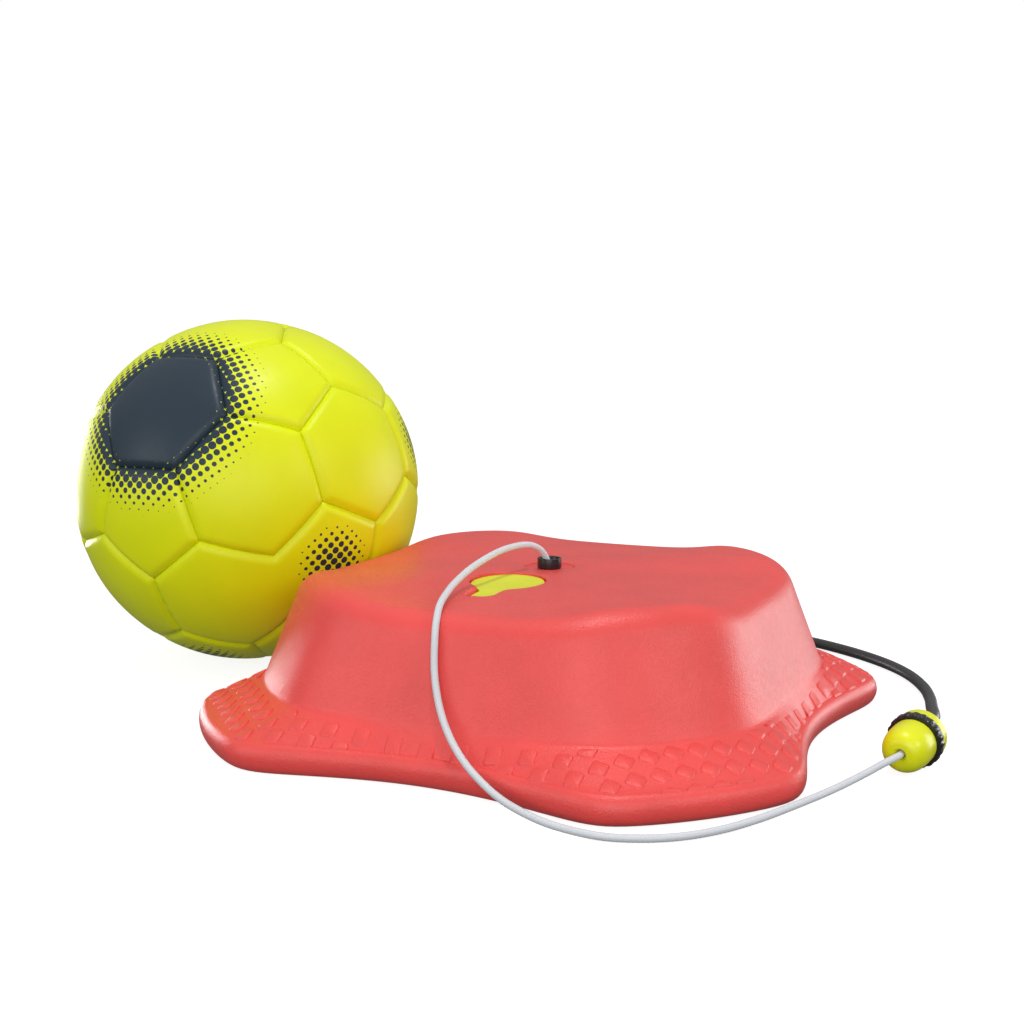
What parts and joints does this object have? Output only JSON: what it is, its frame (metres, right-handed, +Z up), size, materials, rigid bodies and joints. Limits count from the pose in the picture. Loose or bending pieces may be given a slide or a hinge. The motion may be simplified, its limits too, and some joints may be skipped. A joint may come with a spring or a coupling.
{
  "type": "tetherball set",
  "caption": "Lawn tetherball set: a low water-weighted base, a braided and rubber tether with a coupling, and a soft football.",
  "frame": {"origin": "centre of the base's underside, on the ground", "axes": "+Z up out of the base; +X across the set, from the ball's side towards the coupling; +Y away from the side the coupling and filler face"},
  "size_m": [0.4992, 0.4624, 0.2075],
  "materials": {
    "red_polyethylene": "moulded, finely grained, semi-gloss",
    "yellow_plastic": "moulded, satin",
    "black_plastic": "moulded, satin",
    "black_rubber": "smooth, matte",
    "steel": "bright",
    "white_cord": "braided",
    "yellow_cover": "matte, soft touch",
    "navy_print": "matte printed ink on the cover",
    "foam": "closed-cell foam",
    "bladder_latex": "thin latex"
  },
  "bodies": {
    "base": {"base_shell": "red_polyethylene", "swivel_washer": "steel", "base_cord_stop": "black_plastic", "base_plug": "black_plastic", "white_cord": "white_cord", "nose_cord_stop": "black_plastic", "coupling_tail": "yellow_plastic", "tail_cord_stop": "steel", "rubber_cord": "black_rubber", "anchor_socket": "black_plastic", "anchor_pin": "steel"},
    "bung": {"filler_bung": "yellow_plastic", "bung_seal": "black_rubber"},
    "swivel": {"swivel_collar": "black_plastic", "swivel_nut": "black_plastic"},
    "nose": {"coupling_nose": "yellow_plastic"},
    "lock_ring": {"coupling_ring": "black_plastic"},
    "ball": {"panel_five_1": "yellow_cover", "panel_five_2": "yellow_cover", "panel_five_3": "yellow_cover", "panel_five_4": "yellow_cover", "panel_five_5": "yellow_cover", "panel_five_6": "yellow_cover", "panel_five_7": "yellow_cover", "panel_five_8": "yellow_cover", "panel_five_9": "yellow_cover", "panel_valve": "yellow_cover", "panel_five_10": "yellow_cover", "panel_printed": "navy_print", "panel_six_1": "yellow_cover", "panel_six_2": "yellow_cover", "panel_six_3": "yellow_cover", "panel_six_4": "yellow_cover", "panel_six_5": "yellow_cover", "panel_six_6": "yellow_cover", "panel_six_7": "yellow_cover", "panel_six_8": "yellow_cover", "panel_six_9": "yellow_cover", "panel_six_10": "yellow_cover", "panel_six_11": "yellow_cover", "panel_six_12": "yellow_cover", "panel_six_13": "yellow_cover", "panel_six_14": "yellow_cover", "panel_six_15": "yellow_cover", "panel_six_16": "yellow_cover", "panel_six_17": "yellow_cover", "panel_anchor": "yellow_cover", "panel_double": "yellow_cover", "foam_layer": "foam", "bladder": "bladder_latex", "valve": "black_rubber", "anchor_cup": "black_rubber"}
  },
  "joints": [
    {"name": "bung_lift", "type": "slide", "parent": "base", "child": "bung", "axis": [0, 0, 1], "range_m": [0, 0.008]},
    {"name": "tether_swivel", "type": "hinge", "parent": "base", "child": "swivel", "pos_m": [0, 0, 0.08], "axis": [0, 0, 1], "continuous": true},
    {"name": "nose_turn", "type": "hinge", "parent": "base", "child": "nose", "pos_m": [0.1688, -0.1, 0.0136], "axis": [-0.5709, -0.8154, -0.0958], "continuous": true},
    {"name": "lock_ring_turn", "type": "hinge", "parent": "base", "child": "lock_ring", "pos_m": [0.1688, -0.1, 0.0136], "axis": [-0.5709, -0.8154, -0.0958], "range_deg": [0, 90]},
    {"name": "ball_swivel", "type": "hinge", "parent": "base", "child": "ball", "pos_m": [-0.1815, 0.1257, 0.104], "axis": [0.3504, 0.7514, -0.5592], "continuous": true}
  ]
}
